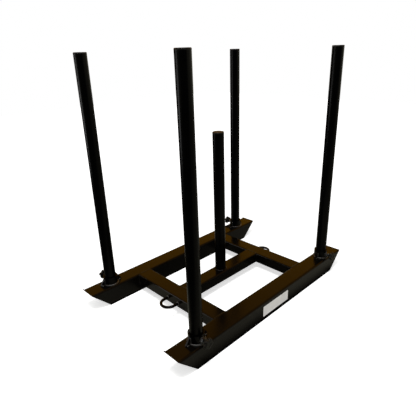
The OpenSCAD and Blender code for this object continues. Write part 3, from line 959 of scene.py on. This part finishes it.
def set_camera():
    """The camera of the picture. Its view is right, up and back, turned by the roll."""
    stage = bpy.context.scene.sled_stage
    turn, tilt, roll = stage.camera_turn, stage.camera_tilt, stage.camera_roll
    right = Vector((math.cos(turn), math.sin(turn), 0))
    ahead = Vector((-math.sin(turn) * math.cos(tilt), math.cos(turn) * math.cos(tilt), -math.sin(tilt)))
    up = right.cross(ahead)
    rolled_right = right * math.cos(roll) + up * math.sin(roll)
    rolled_up = up * math.cos(roll) - right * math.sin(roll)
    lens = bpy.data.cameras.new("camera")
    lens.sensor_width = 36
    lens.lens = stage.focal_pixels / PICTURE_WIDTH * lens.sensor_width
    camera = bpy.data.objects.new("camera", lens)
    bpy.context.scene.collection.objects.link(camera)
    view = Matrix((rolled_right, rolled_up, -ahead)).transposed().to_4x4()
    camera.matrix_world = Matrix.Translation(Vector(stage.camera_place)) @ view
    bpy.context.scene.camera = camera


# Operators


class SLED_OT_coat_frame(bpy.types.Operator):
    """Give the frame's tubes, plates and bars their black powder coat"""

    bl_idname = "sled.coat_frame"
    bl_label = "Coat the frame"

    def execute(self, context):
        paint("black_coat", nodes_of("black_coat"))
        return {"FINISHED"}


class SLED_OT_paint_posts(bpy.types.Operator):
    """Give the push posts, the weight post, the sockets and the tow eyes their black paint"""

    bl_idname = "sled.paint_posts"
    bl_label = "Paint the posts"

    def execute(self, context):
        coated = nodes_of("black_coat")
        paint("post_paint", [node for node in coated if node.endswith(("_post", "_socket", "_eye"))])
        return {"FINISHED"}


class SLED_OT_lay_welds(bpy.types.Operator):
    """Lay the weld beads of the frame, the posts, the gussets, the nuts and the tow eyes"""

    bl_idname = "sled.lay_welds"
    bl_label = "Lay the welds"

    def execute(self, context):
        lay_beads("frame_beads", frame_runs(), "black_coat", ["frame_welds"])
        lay_beads("foot_beads", foot_runs(), "weld_coat", ["foot_welds"])
        lay_beads("post_bead", [upright_run("weight_post")], "black_coat")
        lay_beads("gusset_beads", [each for corner in CORNERS for each in gusset_runs(corner)], "weld_coat")
        lay_beads("nut_beads", [nut_run(corner) for corner in CORNERS], "weld_coat")
        return {"FINISHED"}


class SLED_OT_cut_threads(bpy.types.Operator):
    """Make the four locking screws with their threads"""

    bl_idname = "sled.cut_threads"
    bl_label = "Cut the screws"

    def execute(self, context):
        for corner in CORNERS:
            screw = threaded_screw(corner)
            add_piece(corner + "_threaded_screw", screw, "zinc", corner + "_lock", [corner + "_screw"])
        return {"FINISHED"}


class SLED_OT_shape_nuts(bpy.types.Operator):
    """Make the four weld nuts"""

    bl_idname = "sled.shape_nuts"
    bl_label = "Shape the nuts"

    def execute(self, context):
        for corner in CORNERS:
            add_piece(corner + "_weld_nut", weld_nut(corner), "zinc", ROOT, [corner + "_nut"], crease=20)
        return {"FINISHED"}


class SLED_OT_mould_knobs(bpy.types.Operator):
    """Make the four star knobs"""

    bl_idname = "sled.mould_knobs"
    bl_label = "Mould the knobs"

    def execute(self, context):
        for corner in CORNERS:
            knob = star_knob(corner)
            add_piece(corner + "_star_knob", knob, "black_plastic", corner + "_lock", [corner + "_knob"])
        return {"FINISHED"}


class SLED_OT_mould_caps(bpy.types.Operator):
    """Give the post caps their moulded plastic"""

    bl_idname = "sled.mould_caps"
    bl_label = "Mould the caps"

    def execute(self, context):
        paint("black_plastic", [node for node in nodes_of("black_plastic") if node.endswith("_cap")])
        return {"FINISHED"}


class SLED_OT_turn_pads(bpy.types.Operator):
    """Give the thrust pads their turned brass"""

    bl_idname = "sled.turn_pads"
    bl_label = "Turn the pads"

    def execute(self, context):
        paint("brass", nodes_of("brass"))
        return {"FINISHED"}


class SLED_OT_fit_plate(bpy.types.Operator):
    """Give the blank plate on the right runner its white vinyl"""

    bl_idname = "sled.fit_plate"
    bl_label = "Fit the plate"

    def execute(self, context):
        paint("white_plate", nodes_of("white_plate"))
        return {"FINISHED"}


class SLED_OT_set_stage(bpy.types.Operator):
    """Set the floor, the surroundings, the two lamps and the camera"""

    bl_idname = "sled.set_stage"
    bl_label = "Set the stage"

    def execute(self, context):
        scene = context.scene
        stage = scene.sled_stage
        reach_out = stage.floor_reach
        corners = [(x * reach_out, y * reach_out, 0) for x, y in ((-1, -1), (1, -1), (1, 1), (-1, 1))]
        board = bpy.data.meshes.new("floor")
        board.from_pydata(corners, [], [(0, 1, 2, 3)])
        board.materials.append(pale_floor())
        floor = bpy.data.objects.new("floor", board)
        scene.collection.objects.link(floor)
        scene.world = surroundings()
        hang_lamp("softbox", stage.softbox_place, stage.softbox_power, stage.softbox_size)
        hang_lamp("side_lamp", stage.side_place, stage.side_power, stage.side_size)
        scene.view_settings.view_transform = "Standard"
        set_camera()
        return {"FINISHED"}


class SLED_PT_panel(bpy.types.Panel):
    """The sled's sizes, finishes and steps"""

    bl_idname = "SLED_PT_panel"
    bl_label = "Drag sled"
    bl_space_type = "VIEW_3D"
    bl_region_type = "UI"
    bl_category = "Drag sled"

    def draw(self, context):
        for group in (context.scene.sled_sizes, context.scene.sled_finishes, context.scene.sled_stage):
            box = self.layout.box()
            for name in group.__annotations__:
                box.prop(group, name)
        for step in STEPS:
            self.layout.operator(step.bl_idname)


GROUPS = {"sled_sizes": SledSizes, "sled_finishes": SledFinishes, "sled_stage": SledStage}
STEPS = (
    SLED_OT_coat_frame,
    SLED_OT_paint_posts,
    SLED_OT_lay_welds,
    SLED_OT_cut_threads,
    SLED_OT_shape_nuts,
    SLED_OT_mould_knobs,
    SLED_OT_mould_caps,
    SLED_OT_turn_pads,
    SLED_OT_fit_plate,
    SLED_OT_set_stage,
)


def register():
    for kind in (*GROUPS.values(), *STEPS, SLED_PT_panel):
        bpy.utils.register_class(kind)
    for name, group in GROUPS.items():
        setattr(bpy.types.Scene, name, PointerProperty(type=group))


def unregister():
    for name in GROUPS:
        delattr(bpy.types.Scene, name)
    for kind in (SLED_PT_panel, *reversed(STEPS), *GROUPS.values()):
        bpy.utils.unregister_class(kind)


def main():
    register()
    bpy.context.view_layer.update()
    for step in STEPS:
        group, name = step.bl_idname.split(".")
        getattr(getattr(bpy.ops, group), name)()
    bpy.context.view_layer.update()


if __name__ == "__main__":
    main()
